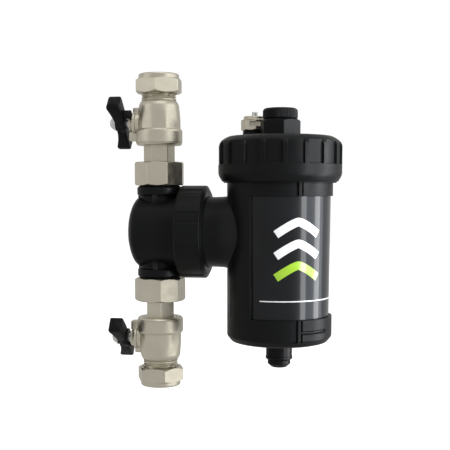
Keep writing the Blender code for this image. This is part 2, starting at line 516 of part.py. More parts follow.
def sheath(axis):
    """The dry brass pocket that keeps the magnets out of the water."""
    turned("magnet_sheath", [(0.0, SHEATH_END + 2), (SHEATH_BORE, SHEATH_END + 2),
                             (SHEATH_BORE, SHEATH_TOP), (12.3, SHEATH_TOP), (12.3, SHEATH_TOP - 3),
                             (SHEATH_RADIUS, SHEATH_TOP - 3),
                             (SHEATH_RADIUS, SHEATH_END + 2.5), (SHEATH_RADIUS - 2.5, SHEATH_END),
                             (0.0, SHEATH_END)], BRASS, at=axis, steps=24)


def vent():
    axis = (CANISTER_X + VENT_OFFSET[0], VENT_OFFSET[1], 0)
    stud_top = PLATE_TOP + GAP
    turned("vent_base", [(0.0, VENT_BASE_TOP), (VENT_BASE_RADIUS, VENT_BASE_TOP),
                         (VENT_BASE_RADIUS, stud_top), (4.3, stud_top), (4.3, PLATE_LOW - 1),
                         (0.0, PLATE_LOW - 1)], BLACK, at=axis)
    turned("vent_body", [(VENT_BODY_RADIUS - 2, VENT_TOP), (VENT_BODY_RADIUS - 2, VENT_STEP),
                         (VENT_BODY_RADIUS, VENT_STEP - 0.8), (VENT_BODY_RADIUS, VENT_BASE_TOP + GAP),
                         (2.0, VENT_BASE_TOP + GAP), (2.0, VENT_TOP)],
           NICKEL, at=axis)
    screw = rod("bleed_screw", 2.3, VENT_TOP + GAP, VENT_SCREW_TOP, finish=STEEL, at=axis, steps=COARSE)
    shank = rod("bleed_shank", 1.6, VENT_BASE_TOP + 2, VENT_TOP + 1, at=axis, steps=COARSE)
    combine(screw, "UNION", shank)


clear_scene()
PARTS = collection("magnetic_system_filter")
CUTTERS = collection("cutters")
diverter()
flow_divider()
flow_run("upper", (0, 0, 0), UPPER_LEVER_TURN, *UPPER_PHASES)
flow_run("lower", (math.pi, 0, 0), LOWER_LEVER_TURN, *LOWER_PHASES)
union_ring()
canister_shell()
drain_plug()
lid()
magnet_pocket()
vent()
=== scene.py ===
"""Looks of the magnetic system filter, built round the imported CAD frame.

The pieces are drawn in millimetres in the frame's own axes and scaled by MM as their meshes are made.
Materials, floor, lights and camera are in Blender's units, which are metres.
"""
import json
import math

import bmesh
import bpy
from mathutils import Matrix, Vector

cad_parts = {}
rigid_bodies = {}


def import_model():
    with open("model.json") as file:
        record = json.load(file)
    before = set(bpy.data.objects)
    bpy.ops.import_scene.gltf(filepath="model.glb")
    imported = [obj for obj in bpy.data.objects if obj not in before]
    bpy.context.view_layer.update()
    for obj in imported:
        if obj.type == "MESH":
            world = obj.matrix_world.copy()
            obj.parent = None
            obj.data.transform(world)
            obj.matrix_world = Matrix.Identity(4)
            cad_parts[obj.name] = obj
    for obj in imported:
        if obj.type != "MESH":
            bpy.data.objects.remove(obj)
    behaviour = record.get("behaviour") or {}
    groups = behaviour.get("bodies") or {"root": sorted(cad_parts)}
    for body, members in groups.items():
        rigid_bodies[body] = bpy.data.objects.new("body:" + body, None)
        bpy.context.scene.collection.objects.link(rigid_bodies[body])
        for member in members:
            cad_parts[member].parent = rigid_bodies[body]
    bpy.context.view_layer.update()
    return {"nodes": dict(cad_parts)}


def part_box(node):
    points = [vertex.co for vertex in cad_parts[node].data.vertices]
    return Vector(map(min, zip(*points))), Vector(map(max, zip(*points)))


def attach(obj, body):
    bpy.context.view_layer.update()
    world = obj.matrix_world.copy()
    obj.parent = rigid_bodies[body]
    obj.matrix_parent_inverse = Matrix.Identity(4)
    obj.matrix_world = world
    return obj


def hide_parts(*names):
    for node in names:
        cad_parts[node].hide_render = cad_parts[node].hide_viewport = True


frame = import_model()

MM = 0.001
SHARP = 32.0
SOFT_SHARP = 50.0
FILLET_STEPS = 4


def box_mm(node):
    """Lowest and highest corners of a CAD node, in millimetres."""
    low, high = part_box(node)
    return low / MM, high / MM


# Frame sizes that more than one piece uses
LID_LOW, LID_HIGH = box_mm("lid_ring")
CANISTER_X = (LID_LOW.x + LID_HIGH.x) / 2
LID_RADIUS = (LID_HIGH.x - LID_LOW.x) / 2
STEM_HEIGHT = (box_mm("upper_valve_stem")[0].z + box_mm("upper_valve_stem")[1].z) / 2
HANDLE_OUT = -box_mm("upper_valve_handle")[0].x
HANDLE_IN = -box_mm("upper_valve_handle")[1].x
UPPER_LEAN, LOWER_LEAN = 48.0, 55.0
PIPE_SOCKET = 11.15
STEM_BORE = 3.9

# Places that pieces are turned about: the canister's axis, the diverter's, and each run of fittings
CANISTER = Matrix.Translation((CANISTER_X * MM, 0, 0))
ALONG_X = Matrix.Rotation(math.radians(90), 4, "Y")
UPPER = Matrix.Identity(4)
LOWER = Matrix.Rotation(math.pi, 4, "X")


# Materials

class Nodes:
    """A Principled material with short ways to add noise, ramps and bumps."""

    def __init__(self, name, colour, roughness, metallic=0.0, **shader):
        self.material = bpy.data.materials.new(name)
        self.material.use_nodes = True
        self.tree = self.material.node_tree
        self.shader = self.tree.nodes["Principled BSDF"]
        self.set("Base Color", (*colour, 1.0))
        self.set("Roughness", roughness)
        self.set("Metallic", metallic)
        for socket, value in shader.items():
            self.set(socket.replace("_", " "), value)
        self.place = self.tree.nodes.new("ShaderNodeTexCoord").outputs["Object"]
        self.normal = None

    def set(self, socket, value):
        """Give one of the shader's sockets a plain value."""
        self.shader.inputs[socket].default_value = value

    def link(self, output, target):
        """Join an output to an input."""
        self.tree.links.new(output, target)

    def noise(self, scale, detail, stretch=None):
        """Noise in the object's own space, drawn out into lines when stretch is given."""
        texture = self.tree.nodes.new("ShaderNodeTexNoise")
        texture.inputs["Scale"].default_value = scale
        texture.inputs["Detail"].default_value = detail
        place = self.place
        if stretch:
            mapping = self.tree.nodes.new("ShaderNodeMapping")
            mapping.inputs["Scale"].default_value = stretch
            self.link(self.place, mapping.inputs["Vector"])
            place = mapping.outputs["Vector"]
        self.link(place, texture.inputs["Vector"])
        return texture.outputs["Fac"]

    def range(self, value, low, high, start=0.35, end=0.65):
        """Spread the part of a value between start and end over low to high."""
        node = self.tree.nodes.new("ShaderNodeMapRange")
        node.inputs["From Min"].default_value = start
        node.inputs["From Max"].default_value = end
        node.inputs["To Min"].default_value = low
        node.inputs["To Max"].default_value = high
        self.link(value, node.inputs["Value"])
        return node.outputs["Result"]

    def colours(self, value, first, second):
        """A mix of two colours by a value."""
        mix = self.tree.nodes.new("ShaderNodeMix")
        mix.data_type = "RGBA"
        mix.inputs["A"].default_value = (*first, 1.0)
        mix.inputs["B"].default_value = (*second, 1.0)
        self.link(value, mix.inputs["Factor"])
        return mix.outputs["Result"]

    def bump(self, value, strength, distance):
        """Add a bump on top of those already there."""
        node = self.tree.nodes.new("ShaderNodeBump")
        node.inputs["Strength"].default_value = strength
        node.inputs["Distance"].default_value = distance
        self.link(value, node.inputs["Height"])
        if self.normal:
            self.link(self.normal, node.inputs["Normal"])
        self.normal = node.outputs["Normal"]
        self.link(self.normal, self.shader.inputs["Normal"])

    def edges(self):
        """How convex the surface is, for wear on its edges."""
        geometry = self.tree.nodes.new("ShaderNodeNewGeometry")
        return geometry.outputs["Pointiness"]


def moulded_plastic(name, dark, light, rough):
    """Glass-filled moulding: fine spark-eroded grain, faint flow marks and paler worn edges."""
    grain = 0.00002
    nodes = Nodes(name, dark, rough, Specular_IOR_Level=0.11)
    cloud = nodes.noise(45.0, 5.0)
    nodes.link(nodes.range(cloud, rough - 0.05, rough + 0.07), nodes.shader.inputs["Roughness"])
    wear_start, wear_end = 0.52, 0.62
    worn = nodes.range(nodes.edges(), 0.0, 1.0, wear_start, wear_end)
    base = nodes.colours(worn, dark, light)
    nodes.link(base, nodes.shader.inputs["Base Color"])
    nodes.bump(nodes.noise(2600.0, 2.0), 0.35, grain)
    nodes.bump(nodes.noise(160.0, 4.0), 0.25, grain * 2)
    return nodes.material


def nickel(name, rough, cast, lines=None, colour=(0.62, 0.585, 0.485)):
    """Nickel plate over brass: warm, satin, with a cast skin or turning lines beneath it."""
    shade = tuple(value * 0.93 for value in colour)
    nodes = Nodes(name, colour, rough, 1.0)
    cloud = nodes.range(nodes.noise(70.0, 6.0), 0.0, 1.0)
    nodes.link(nodes.colours(cloud, shade, colour), nodes.shader.inputs["Base Color"])
    smears = nodes.range(nodes.noise(210.0, 4.0), rough - 0.03, rough + 0.05)
    nodes.link(smears, nodes.shader.inputs["Roughness"])
    if cast:
        nodes.bump(nodes.noise(1100.0, 3.0), 0.4, cast)
        nodes.bump(nodes.noise(150.0, 2.0), 0.4, cast * 4)
    if lines:
        nodes.bump(nodes.noise(90.0, 2.0, lines), 0.25, 0.000008)
    return nodes.material


def plain_metal(name, colour, rough):
    """Turned metal with fine lines and slight staining."""
    nodes = Nodes(name, colour, rough, 1.0)
    shade = tuple(value * 0.8 for value in colour)
    nodes.link(nodes.colours(nodes.range(nodes.noise(90.0, 5.0), 0.0, 1.0), shade, colour),
               nodes.shader.inputs["Base Color"])
    nodes.bump(nodes.noise(80.0, 2.0, (1, 1, 40)), 0.3, 0.00002)
    return nodes.material


def soft(name, colour, rough):
    """Rubber, fibre or PTFE, matt and slightly mottled."""
    nodes = Nodes(name, colour, rough)
    paler = tuple(min(1.0, value * 1.25 + 0.004) for value in colour)
    nodes.link(nodes.colours(nodes.range(nodes.noise(160.0, 4.0), 0.0, 1.0), colour, paler),
               nodes.shader.inputs["Base Color"])
    nodes.bump(nodes.noise(1500.0, 2.0), 0.4, 0.00003)
    return nodes.material


def label_film():
    """Printed film under a clear gloss, with the slight waviness of a label on a moulding."""
    nodes = Nodes("label_film", (0.004, 0.005, 0.006), 0.35, Coat_Weight=1.0, Coat_Roughness=0.075,
                  Coat_IOR=1.26, Specular_IOR_Level=0.1)
    cloud = nodes.range(nodes.noise(30.0, 3.0), 0.0, 1.0)
    nodes.link(nodes.colours(cloud, (0.0035, 0.004, 0.005), (0.006, 0.007, 0.009)),
               nodes.shader.inputs["Base Color"])
    nodes.bump(nodes.noise(26.0, 2.0), 0.08, 0.0002)
    return nodes.material


def print_ink(name, colour):
    """Screen-printed ink: slightly uneven cover and gloss."""
    nodes = Nodes(name, colour, 0.22, Coat_Weight=0.6, Coat_Roughness=0.08)
    thin = tuple(value * 0.93 for value in colour)
    nodes.link(nodes.colours(nodes.range(nodes.noise(240.0, 4.0), 0.0, 1.0), thin, colour),
               nodes.shader.inputs["Base Color"])
    nodes.bump(nodes.noise(1800.0, 2.0), 0.2, 0.00001)
    return nodes.material


BLACK = moulded_plastic("black_moulding", (0.0045, 0.0048, 0.0052), (0.018, 0.018, 0.019), 0.38)
BLACK_FINE = moulded_plastic("black_lever", (0.0035, 0.0035, 0.004), (0.014, 0.014, 0.015), 0.36)
CAST = nickel("nickel_forged", 0.38, 0.000012)
TURNED = nickel("nickel_turned", 0.36, 0.0, (1, 1, 30))
BRIGHT = nickel("nickel_screw", 0.26, 0.0, (1, 1, 30), (0.66, 0.67, 0.67))
BRASS = plain_metal("brass_turned", (0.72, 0.52, 0.24), 0.30)
STEEL = plain_metal("steel_turned", (0.56, 0.57, 0.58), 0.28)
CHROME = plain_metal("ball_chrome", (0.80, 0.80, 0.82), 0.08)
MAGNET = plain_metal("magnet_nickel", (0.50, 0.50, 0.52), 0.24)
RUBBER = soft("seal_rubber", (0.012, 0.012, 0.012), 0.70)
PTFE = soft("seat_ptfe", (0.80, 0.80, 0.78), 0.45)
FIBRE = soft("washer_fibre", (0.30, 0.09, 0.06), 0.80)
FILM = label_film()
WHITE_INK = print_ink("ink_white", (0.82, 0.83, 0.84))
GREEN_INK = print_ink("ink_green", (0.30, 0.52, 0.02))

# What the strip lights fall on
DARK = (BLACK, BLACK_FINE, FILM, WHITE_INK, GREEN_INK)


# Mesh building

def finish_mesh(name, mesh, material, matrix, angle=SHARP):
    """An object for the mesh, smooth apart from edges sharper than angle in degrees."""
    mesh.materials.clear()
    mesh.materials.append(material)
    mesh.shade_smooth()
    mesh.set_sharp_from_angle(angle=math.radians(angle))
    item = bpy.data.objects.new(name, mesh)
    bpy.context.scene.collection.objects.link(item)
    item.matrix_world = matrix
    return item


def skin(name, vertices, faces, material, matrix, angle=SHARP):
    """An object from vertices in metres and their faces, with its faces turned outwards."""
    mesh = bpy.data.meshes.new(name)
    mesh.from_pydata(vertices, [], faces)
    bm = bmesh.new()
    bm.from_mesh(mesh)
    bmesh.ops.recalc_face_normals(bm, faces=bm.faces)
    bm.to_mesh(mesh)
    bm.free()
    return finish_mesh(name, mesh, material, matrix, angle)


def band(row, following, count):
    """Faces between two closed rows of count vertices each."""
    faces = []
    for index in range(count):
        after = (index + 1) % count
        faces.append((row * count + index, row * count + after,
                      following * count + after, following * count + index))
    return faces


def half_flats(corner, sides):
    """Distance from a nut's axis to its flats, from the distance to its corners."""
    return corner * math.cos(math.pi / sides)


def rounded(corners):
    """A profile of (radius, height, fillet) corners with each fillet drawn as a curve."""
    points = []
    count = len(corners)
    for index, corner in enumerate(corners):
        here = Vector(corner[:2])
        fillet = corner[2] if len(corner) > 2 else 0.0
        if not fillet:
            points.append(tuple(here))
            continue
        before = Vector(corners[index - 1][:2]) - here
        after = Vector(corners[(index + 1) % count][:2]) - here
        reach = min(fillet, before.length * 0.49, after.length * 0.49)
        start = here + before.normalized() * reach
        end = here + after.normalized() * reach
        for step in range(FILLET_STEPS + 1):
            t = step / FILLET_STEPS
            points.append(tuple(start * (1 - t) ** 2 + here * 2 * t * (1 - t) + end * t ** 2))
    return points


def dense(points, step, closed=True):
    """The same profile with its long runs cut into rows no taller than step."""
    out = []
    count = len(points)
    last = count if closed else count - 1
    for index in range(last):
        a, b = Vector(points[index]), Vector(points[(index + 1) % count])
        parts = max(1, math.ceil((b - a).length / step))
        out.extend(tuple(a.lerp(b, part / parts)) for part in range(parts))
    if not closed:
        out.append(points[-1])
    return out


def lathe(name, profile, material, matrix, segments, radius_at=None):
    """Turn a profile of (radius, height) about Z; radius_at(radius, height, turn) can shape it.

    A profile that starts and ends at radius 0 is closed by its poles, any other is a ring.
    """
    solid = profile[0][0] < 1e-6 and profile[-1][0] < 1e-6
    rows = profile[1:-1] if solid else profile
    vertices, faces = [], []
    turns = [math.tau * index / segments for index in range(segments)]
    for radius, height in rows:
        for turn in turns:
            r = radius_at(radius, height, turn) if radius_at else radius
            vertices.append((r * math.cos(turn) * MM, r * math.sin(turn) * MM, height * MM))
    pairs = [(row, row + 1) for row in range(len(rows) - 1)]
    if not solid:
        pairs.append((len(rows) - 1, 0))
    for row, following in pairs:
        faces.extend(band(row, following, segments))
    if solid:
        for pole, row in ((profile[0], 0), (profile[-1], len(rows) - 1)):
            vertices.append((0.0, 0.0, pole[1] * MM))
            for index in range(segments):
                after = (index + 1) % segments
                faces.append((row * segments + index, row * segments + after, len(vertices) - 1))
    return skin(name, vertices, faces, material, matrix)


def flats(sides, corner, phase, soft_edge=0.12):
    """Radius rule for a nut: the turned blank cut by flats, its first corner at the angle phase."""
    apothem = half_flats(corner, sides)
    half = math.pi / sides
    start = math.radians(phase)

    def radius_at(radius, height, turn):
        away = (turn - start) % (2 * half) - half
        face = apothem / math.cos(away)
        gap = abs(radius - face)
        eased = max(0.0, soft_edge - gap) ** 2 / (4 * soft_edge)
        return min(radius, face) - eased

    return radius_at


def zone(rule, low, high):
    """A radius rule that only works between two heights."""
    def radius_at(radius, height, turn):
        return rule(radius, height, turn) if low <= height <= high else radius
    return radius_at


def screw_thread(pitch, depth, low, high, over):
    """Radius rule for a helical thread on the surfaces outside the radius over."""
    fade = pitch * 0.8
    root_width, flank_width = 0.82, 0.64

    def radius_at(radius, height, turn):
        if radius < over or not low <= height <= high:
            return radius
        wave = abs(((height / pitch - turn / math.tau) % 1.0) * 2 - 1)
        cut = min(1.0, max(0.0, (root_width - wave) / flank_width))
        ease = min(1.0, (height - low) / fade, (high - height) / fade)
        return radius - depth * cut * max(0.0, ease)

    return radius_at


def join(name, items, material, operation="UNION", angle=SHARP):
    """One closed mesh from several overlapping ones, or the first with the rest cut away."""
    first = items[0]
    for other in items[1:]:
        step = first.modifiers.new("join", "BOOLEAN")
        step.operation = operation
        step.solver = "EXACT"
        step.object = other
    bpy.context.view_layer.update()
    view = bpy.context.evaluated_depsgraph_get()
    mesh = bpy.data.meshes.new_from_object(first.evaluated_get(view))
    mesh.transform(first.matrix_world)
    for item in items:
        bpy.data.objects.remove(item, do_unlink=True)
    return finish_mesh(name, mesh, material, UPPER, angle)


def block(name, low, high, material, matrix, bevel):
    """A box with rounded edges."""
    bm = bmesh.new()
    size = [(high[axis] - low[axis]) * MM for axis in range(3)]
    middle = [(high[axis] + low[axis]) / 2 * MM for axis in range(3)]
    bmesh.ops.create_cube(bm, size=1.0, matrix=Matrix.Translation(middle) @ Matrix.Diagonal((*size, 1.0)))
    bmesh.ops.bevel(bm, geom=bm.edges[:], offset=bevel * MM, segments=3, affect="EDGES", profile=0.5)
    mesh = bpy.data.meshes.new(name)
    bm.to_mesh(mesh)
    bm.free()
    return finish_mesh(name, mesh, material, matrix)


def loft(name, sections, material, matrix):
    """A skin through closed sections that all have the same number of points, with flat ends."""
    count = len(sections[0])
    vertices = [tuple(value * MM for value in point) for section in sections for point in section]
    faces = []
    for row in range(len(sections) - 1):
        faces.extend(band(row, row + 1, count))
    faces.append(tuple(range(count)))
    faces.append(tuple((len(sections) - 1) * count + index for index in range(count)))
    return skin(name, vertices, faces, material, matrix, SOFT_SHARP)


def fit(piece, body, node):
    """Ride on a body and stand for a CAD node."""
    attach(piece, body)
    if node:
        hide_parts(node)


# Flow runs: each piece is drawn for the upper run, and the lower run turns it over

def stem_axis(run):
    """Where a valve's stem runs out of its body, with Z pointing outwards along -X."""
    return run @ Matrix.Translation((0, 0, STEM_HEIGHT * MM)) @ Matrix.Rotation(math.radians(-90), 4, "Y")


def compression_nut(side, run, phase):
    """Six flats, chamfered at both ends, under a plain collar that the pipe enters."""
    low, high = box_mm("upper_compression_nut")
    sides, corner, nut_top, collar = 6, 18.5, low.z + 11.0, 15.3
    thread, thread_depth, cone_depth, chamfer = 13.5, 9.4, 11.6, 1.45
    edge = half_flats(corner, sides) - 0.1
    profile = rounded([
        (collar, high.z, 1.6), (collar, nut_top - 0.2, 0.25), (edge, nut_top, 0.2),
        (corner, nut_top - chamfer, 0.5), (corner, low.z + chamfer, 0.5), (edge, low.z, 0.2),
        (thread, low.z, 0.4), (thread, low.z + thread_depth, 0.2), (PIPE_SOCKET, low.z + cone_depth, 0.2),
        (PIPE_SOCKET, high.z, 0.7)])
    rule = zone(flats(sides, corner, phase), low.z - 1, nut_top + 0.01)
    nut = lathe(side + "_compression_nut_body", dense(profile, 0.45), TURNED, run, 216, rule)
    fit(nut, side + "_compression_nut", side + "_compression_nut")


def union_nut(side, run, phase):
    """Eight flats, with the lip that pulls the tailpiece down on to the diverter's port."""
    low, high = box_mm("upper_union_nut")
    sides, corner, bore, lip, lip_height, chamfer = 8, 19.4, 15.4, 12.2, 12.9, 1.1
    edge = half_flats(corner, sides) - 0.3
    profile = rounded([
        (edge, high.z, 0.3), (corner, high.z - chamfer, 0.5), (corner, low.z + chamfer, 0.5),
        (edge, low.z, 0.3), (bore, low.z, 0.6), (bore, low.z + lip_height - 0.1, 0.2),
        (lip, low.z + lip_height, 0.2), (lip, high.z, 0.5)])
    rule = flats(sides, corner, phase)
    nut = lathe(side + "_union_nut_body", dense(profile, 0.45), TURNED, run, 256, rule)
    fit(nut, side + "_union_nut", side + "_union_nut")


def tailpiece(side, run, phase):
    """The hexagonal neck between a union nut and its valve, flanged below and threaded above."""
    low, high = box_mm("upper_tailpiece")
    corner, flange, thread, bore = 11.8, 14.8, 12.4, 8.0
    flange_top, hex_top = 47.7, 65.1
    profile = rounded([
        (bore, high.z, 0.3), (thread - 0.8, high.z, 0.3), (thread, high.z - 0.9, 0.2),
        (thread, hex_top + 0.2), (corner + 0.3, hex_top, 0.1), (corner, hex_top - 0.6, 0.2),
        (corner, flange_top + 0.3, 0.4), (flange, flange_top, 0.3), (flange, low.z, 0.3),
        (bore, low.z, 0.3)])
    rule = zone(flats(6, corner, phase), flange_top + 0.2, hex_top + 0.1)
    neck = lathe(side + "_tailpiece_body", dense(profile, 0.8), TURNED, run, 192, rule)
    fit(neck, "diverter", side + "_tailpiece")


def valve_body(side, run):
    """Forged body with a machined ring at the union end and a cut thread at the pipe end."""
    low, high = box_mm("upper_valve_body")
    ring, ring_top, thread, nose_top = 17.6, 76.6, 13.2, 98.3
    bore, chamber_top, waterway, stop = 12.7, 92.2, 9.0, 98.6
    undercut, groove, facet_top = thread - 0.9, ring - 0.45, 96.0
    profile = rounded([
        (PIPE_SOCKET, high.z, 0.5), (thread - 1.2, high.z, 0.2), (thread, high.z - 1.4, 0.2),
        (thread, nose_top + 0.5), (undercut, nose_top + 0.3), (undercut, nose_top),
        (13.7, nose_top - 0.3, 0.5), (15.1, 95.2, 1.2), (15.6, 90.5, 1.5), (16.2, 84.0, 1.0),
        (16.3, ring_top + 1.0, 0.5), (ring - 0.4, ring_top + 0.4, 0.4), (ring, ring_top - 0.8, 0.5),
        (ring, low.z + 2.3, 0.1), (groove, low.z + 2.1), (groove, low.z + 1.7),
        (ring - 0.1, low.z + 1.5, 0.1), (ring - 1.2, low.z, 0.5), (bore, low.z, 0.4),
        (bore, chamber_top), (waterway, chamber_top), (waterway, stop), (PIPE_SOCKET, stop)])
    forged = flats(10, 16.7, 14.0, 0.9)
    cut = screw_thread(1.81, 1.0, nose_top + 0.6, high.z - 0.2, thread - 0.5)

    def radius_at(radius, height, turn):
        if radius > bore + 1 and ring_top + 0.9 < height < facet_top:
            return forged(radius, height, turn)
        return cut(radius, height, turn)

    body = lathe("body_shape", dense(profile, 0.4), CAST, run, 180, radius_at)
    outwards = stem_axis(run)
    boss_radius, waist, root, boss_end = 9.0, 8.2, 14.0, 20.8
    boss = lathe("boss_shape", rounded([
        (0.0, boss_end), (7.0, boss_end, 0.6), (7.6, 19.6, 0.3), (boss_radius, 19.4, 0.4),
        (boss_radius, 17.4, 0.4), (waist, 17.0, 0.3), (waist, root), (0.0, root)]), CAST, outwards, 96)
    hole = lathe("hole_shape", [(0.0, 25.0), (STEM_BORE, 25.0), (STEM_BORE, 9.0), (0.0, 9.0)],
                 CAST, outwards, 64)
    short_lug = block("short_lug", (6.0, -3.6, root), (11.4, 3.6, 19.6), CAST, outwards, 0.8)
    long_lug = block("long_lug", (-13.6, -3.8, root), (-6.5, 3.8, 22.6), CAST, outwards, 0.9)
    shape = join("with_boss", [body, boss, short_lug, long_lug], CAST)
    done = join(side + "_valve_body_forging", [shape, hole], CAST, "DIFFERENCE")
    fit(done, "diverter", side + "_valve_body")


def lever(side, run, lean):
    """Butterfly handle, its nut and the gland, about an axis that points out along -X."""
    axis = stem_axis(run)
    turned = axis @ Matrix.Rotation(math.radians(-lean), 4, "Z")
    hub = 32.8
    handle = loft("handle_shape", handle_sections(hub), BLACK_FINE, turned)
    skirt_radius, skirt_end = 6.9, HANDLE_IN - 0.7
    key_radius, hole_start, hole_end = 2.9, 10.0, 60.0
    skirt = lathe("skirt_shape", rounded([
        (0.0, HANDLE_IN + 3), (skirt_radius, HANDLE_IN + 3), (skirt_radius, skirt_end, 0.4),
        (0.0, skirt_end)]), BLACK_FINE, axis, 96)
    tab_low, tab_high = (7.2, -2.8, HANDLE_IN - 6.0), (11.2, 2.8, HANDLE_IN + 2)
    tab = block("tab_shape", tab_low, tab_high, BLACK_FINE, turned, 0.7)
    hole = lathe("hole_shape", [
        (0.0, hole_end), (key_radius, hole_end), (key_radius, HANDLE_IN + 1), (STEM_BORE, HANDLE_IN),
        (STEM_BORE, hole_start), (0.0, hole_start)], BLACK_FINE, axis, 64)
    shape = join("handle_joined", [handle, skirt, tab], BLACK_FINE, angle=SOFT_SHARP)
    done = join(side + "_handle_moulding", [shape, hole], BLACK_FINE, "DIFFERENCE", SOFT_SHARP)
    fit(done, side + "_lever", side + "_valve_handle")
    dome_nut(side, axis, hub + 0.3)
    gland_nut(side, axis)


def handle_sections(hub):
    """Sections along the handle, thin at its hub and flaring outwards to two rounded ends."""
    half_width, waist, waist_reach, half_length = 6.0, 0.5, 11.0, 23.5
    flat, tip_length, tip_drop, tip_narrowing, edge = 6.0, 4.6, 5.0, 1.5, 1.2
    stations = 64
    sections = []
    for index in range(stations + 1):
        along = -half_length + 2 * half_length * index / stations
        away = abs(along)
        flare = max(0.0, (away - flat) / (half_length - flat))
        tip = max(0.0, (away - (half_length - tip_length)) / tip_length)
        end = max(0.0, (away - (half_length - edge)) / edge)
        round_off = 1 - math.sqrt(max(0.0, 1 - end ** 2))
        outer = hub + (HANDLE_OUT - hub) * flare ** 1.5
        outer -= tip_drop * (1 - math.sqrt(max(0.0, 1 - tip ** 2)))
        inner = HANDLE_IN + 0.8 * round_off
        wide = half_width - waist * math.cos(min(1.0, away / waist_reach) * math.pi / 2)
        wide -= 0.9 * round_off + tip_narrowing * tip ** 2
        sections.append(rounded_rectangle(inner, outer, wide, along, 1.1))
    return sections


def dome_nut(side, axis, low):
    """The flanged hexagonal nut with a domed top that holds a handle on."""
    high, corner, flange, flange_top = low + 5.0, 4.9, 5.6, low + 0.9
    profile = rounded([
        (0.0, high), (2.4, high - 0.2, 0.8), (3.9, high - 1.6, 0.6), (4.2, high - 2.2, 0.2),
        (corner, high - 2.8, 0.3), (corner, flange_top + 0.3, 0.2), (flange, flange_top, 0.2),
        (flange, low, 0.2), (0.0, low)])
    rule = zone(flats(6, corner, 0.0, 0.2), flange_top + 0.35, high + 1)
    nut = lathe(side + "_dome_nut", dense(profile, 0.3, False), BRIGHT, axis, 96, rule)
    fit(nut, side + "_lever", side + "_lever_nut")


def gland_nut(side, axis):
    """The small nut that presses on the stem's packing, with a plain neck outside its flats."""
    low, high = box_mm("upper_gland_nut")
    start, end = -high.x, -low.x - 2.2
    hex_height, corner, plain, bore = 2.5, 6.5, 4.9, 4.0
    profile = rounded([
        (plain, end, 0.4), (plain, start + 2.6, 0.3), (corner, start + 2.4, 0.3), (corner, start, 0.3),
        (bore, start, 0.2), (bore, end, 0.2)])
    rule = zone(flats(6, 6.6, 10.0, 0.2), start, start + hex_height)
    gland = lathe(side + "_gland_nut_body", dense(profile, 0.4), TURNED, axis, 96, rule)
    fit(gland, "diverter", side + "_gland_nut")


def rounded_rectangle(inner, outer, half_width, along, radius):
    """A closed section of the handle: x runs along it, y across it and z outwards from the valve."""
    points = []
    steps = 5
    reach = min(radius, (outer - inner) * 0.45)
    corners = ((half_width, outer), (-half_width, outer), (-half_width, inner), (half_width, inner))
    for quarter, (y, z) in enumerate(corners):
        middle_y = y - math.copysign(reach, y)
        middle_z = z - reach if z == outer else z + reach
        for step in range(steps + 1):
            angle = math.radians(90 * (quarter + step / steps))
            points.append((along, middle_y + reach * math.cos(angle), middle_z + reach * math.sin(angle)))
    return points


# Diverter and union

def diverter():
    """The barrel with its domed end, its two ports and the ribs moulded under their flanges."""
    low, high = box_mm("diverter_housing")
    barrel, dome_start, dome_steps = 27.0, -13.0, 18
    spigot, spigot_x, ledge = 30.2, 17.0, 0.5
    profile = [(0.0, high.x), (spigot, high.x), (spigot, spigot_x + ledge), (barrel, spigot_x - ledge),
               (barrel, dome_start)]
    for step in range(1, dome_steps):
        angle = math.radians(90 * step / dome_steps)
        profile.append((barrel * math.cos(angle), dome_start + (low.x - dome_start) * math.sin(angle)))
    profile.append((0.0, low.x))
    pieces = [lathe("barrel_shape", profile, BLACK, ALONG_X, 200)]
    flange_low, flange_top, flange, boss, thread = 27.6, 34.9, 16.9, 15.0, 14.9
    corners = [
        (0.0, high.z), (thread - 0.8, high.z, 0.3), (thread, high.z - 0.9, 0.2), (thread, flange_top),
        (flange - 1.6, flange_top, 0.3), (flange, flange_top - 1.6, 0.5), (flange, flange_low + 0.9, 0.6),
        (flange - 0.9, flange_low, 0.3), (boss + 0.4, flange_low, 0.4), (boss, flange_low - 1.0, 0.6),
        (boss, 22.5, 0.8), (boss + 2.0, 19.0), (0.0, 14.0)]
    rib_low, rib_high = (-1.9, 0.5 - flange, 16.0), (1.9, 2.0 - boss, flange_low + 0.5)
    for turn in (UPPER, LOWER):
        pieces.append(lathe("port_shape", rounded(corners), BLACK, turn, 144))
        for quarter in range(4):
            spin = turn @ Matrix.Rotation(math.radians(90 * quarter), 4, "Z")
            pieces.append(block("rib_shape", rib_low, rib_high, BLACK, spin, 0.5))
    done = join("diverter_moulding", pieces, BLACK, angle=38.0)
    fit(done, "diverter", "diverter_housing")


def union_ring():
    """The union's ring nut, its grip panels standing a little proud between sunken lands."""
    low, high = box_mm("union_ring")
    radius, bore, lip, lip_x = 35.0, 30.9, 26.8, 34.4
    profile = rounded([
        (radius - 3.4, high.x, 0.5), (radius, high.x - 1.8, 0.4), (radius, low.x + 1.6, 0.3),
        (radius - 1.2, low.x, 0.5), (bore, low.x, 0.4), (bore, lip_x, 0.2), (lip, lip_x, 0.2),
        (lip, high.x, 0.5)])
    panels, share, depth, facing, steepness = 9, 0.62, 0.7, -90.0, 40

    def radius_at(r, height, turn):
        if r < radius - 0.6 or not low.x + 1.8 < height < high.x - 2.2:
            return r
        place = ((math.degrees(turn) - facing) / 360.0 * panels + 0.5) % 1.0
        return r - depth * min(1.0, max(0.0, (abs(place - 0.5) - share / 2) * steepness))

    ring = lathe("union_ring_body", dense(profile, 0.5), BLACK, ALONG_X, 540, radius_at)
    fit(ring, "union_ring", "union_ring")


# Canister

# Bearings in degrees from the front, -Y, towards +X: the upright ribs, the raised panels below the label
# beside them, and the two seams of the mould
RIBS = (27.0, 153.0)
PANEL_START, PANEL_END = 30.0, 64.0
SEAMS = ((239.0, 240.2), (299.8, 301.0))


